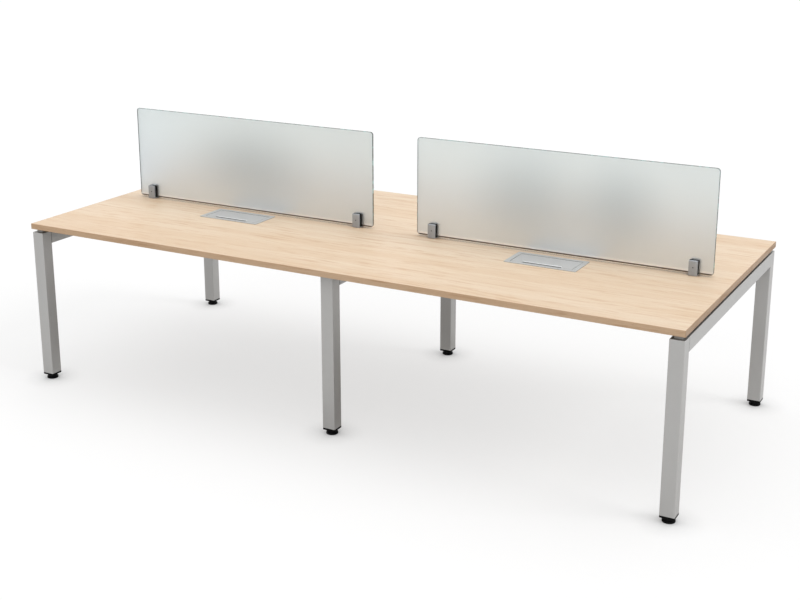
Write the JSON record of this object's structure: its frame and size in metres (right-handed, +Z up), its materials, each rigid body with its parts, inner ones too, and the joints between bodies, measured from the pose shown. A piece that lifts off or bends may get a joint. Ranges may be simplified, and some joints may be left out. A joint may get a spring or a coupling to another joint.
{
  "type": "bench desk",
  "caption": "Shared bench desk: wood-effect worktop on square metal legs, frosted glass screens along the middle, flip-lid cable ports and screw-in levelling feet.",
  "frame": {"origin": "on the floor under the middle of the worktop", "axes": "+X along the desk, -Y towards the front edge in the picture, +Z up"},
  "size_m": [3, 1.3, 1.172],
  "materials": {
    "wood_top": "pale straight-grained wood effect, satin",
    "wood_edge": "matching edge band, satin",
    "frame_silver": "silver powder coat, satin",
    "spacer_silver": "silver powder coat, satin",
    "tray_grey": "grey powder coat on folded sheet",
    "plated_steel": "zinc plated",
    "frosted_glass": "acid-etched on the faces, polished edge",
    "clip_grey": "satin anodised",
    "liner_black": "matt",
    "screw_dark": "blackened",
    "port_grey": "light grey satin coat",
    "foot_black": "moulded, satin"
  },
  "bodies": {
    "desk": {"leg_front_left": "frame_silver", "leg_front_middle": "frame_silver", "leg_front_right": "frame_silver", "leg_rear_left": "frame_silver", "leg_rear_middle": "frame_silver", "leg_rear_right": "frame_silver", "crossbar_left": "frame_silver", "crossbar_middle": "frame_silver", "crossbar_right": "frame_silver", "rail_front_left": "frame_silver", "port_frame_front_left": "port_grey", "rail_rear_left": "frame_silver", "port_frame_rear_left": "port_grey", "worktop_left": "wood_top", "edge_band_left": "wood_edge", "screen_left": "frosted_glass", "cable_tray_left": "tray_grey", "clip_left_outer": "clip_grey", "clip_left_inner": "clip_grey", "rail_front_right": "frame_silver", "port_frame_front_right": "port_grey", "rail_rear_right": "frame_silver", "port_frame_rear_right": "port_grey", "worktop_right": "wood_top", "edge_band_right": "wood_edge", "screen_right": "frosted_glass", "cable_tray_right": "tray_grey", "clip_right_outer": "clip_grey", "clip_right_inner": "clip_grey", "rail_brackets": "plated_steel", "bracket_bolts": "plated_steel", "bracket_nuts": "plated_steel", "rail_lock_screws": "plated_steel", "worktop_spacers": "spacer_silver", "worktop_screws": "plated_steel", "joint_plates": "plated_steel", "joint_plate_screws": "plated_steel", "clip_liners": "liner_black", "clip_clamp_screws": "screw_dark", "clip_bolts": "plated_steel", "clip_washers": "plated_steel", "port_hinge_pins": "plated_steel", "leg_end_caps": "foot_black", "tray_straps": "plated_steel", "tray_strap_screws": "plated_steel"},
    "lid_front_left": {"port_lid_front_left": "port_grey"},
    "lid_front_right": {"port_lid_front_right": "port_grey"},
    "lid_rear_left": {"port_lid_rear_left": "port_grey"},
    "lid_rear_right": {"port_lid_rear_right": "port_grey"},
    "foot_front_left": {"foot_front_left": "foot_black"},
    "foot_front_middle": {"foot_front_middle": "foot_black"},
    "foot_front_right": {"foot_front_right": "foot_black"},
    "foot_rear_left": {"foot_rear_left": "foot_black"},
    "foot_rear_middle": {"foot_rear_middle": "foot_black"},
    "foot_rear_right": {"foot_rear_right": "foot_black"}
  },
  "joints": [
    {"name": "lid_front_left_hinge", "type": "hinge", "parent": "desk", "child": "lid_front_left", "pos_m": [-0.76, -0.0505, 0.7385], "axis": [-1, 0, 0], "range_deg": [0, 100]},
    {"name": "lid_front_right_hinge", "type": "hinge", "parent": "desk", "child": "lid_front_right", "pos_m": [0.76, -0.0505, 0.7385], "axis": [-1, 0, 0], "range_deg": [0, 100]},
    {"name": "lid_rear_left_hinge", "type": "hinge", "parent": "desk", "child": "lid_rear_left", "pos_m": [-0.76, 0.0705, 0.7385], "axis": [1, 0, 0], "range_deg": [0, 100]},
    {"name": "lid_rear_right_hinge", "type": "hinge", "parent": "desk", "child": "lid_rear_right", "pos_m": [0.76, 0.0705, 0.7385], "axis": [1, 0, 0], "range_deg": [0, 100]},
    {"name": "foot_front_left_screw", "type": "slide", "parent": "desk", "child": "foot_front_left", "axis": [0, 0, -1], "range_m": [0, 0.015]},
    {"name": "foot_front_middle_screw", "type": "slide", "parent": "desk", "child": "foot_front_middle", "axis": [0, 0, -1], "range_m": [0, 0.015]},
    {"name": "foot_front_right_screw", "type": "slide", "parent": "desk", "child": "foot_front_right", "axis": [0, 0, -1], "range_m": [0, 0.015]},
    {"name": "foot_rear_left_screw", "type": "slide", "parent": "desk", "child": "foot_rear_left", "axis": [0, 0, -1], "range_m": [0, 0.015]},
    {"name": "foot_rear_middle_screw", "type": "slide", "parent": "desk", "child": "foot_rear_middle", "axis": [0, 0, -1], "range_m": [0, 0.015]},
    {"name": "foot_rear_right_screw", "type": "slide", "parent": "desk", "child": "foot_rear_right", "axis": [0, 0, -1], "range_m": [0, 0.015]}
  ]
}
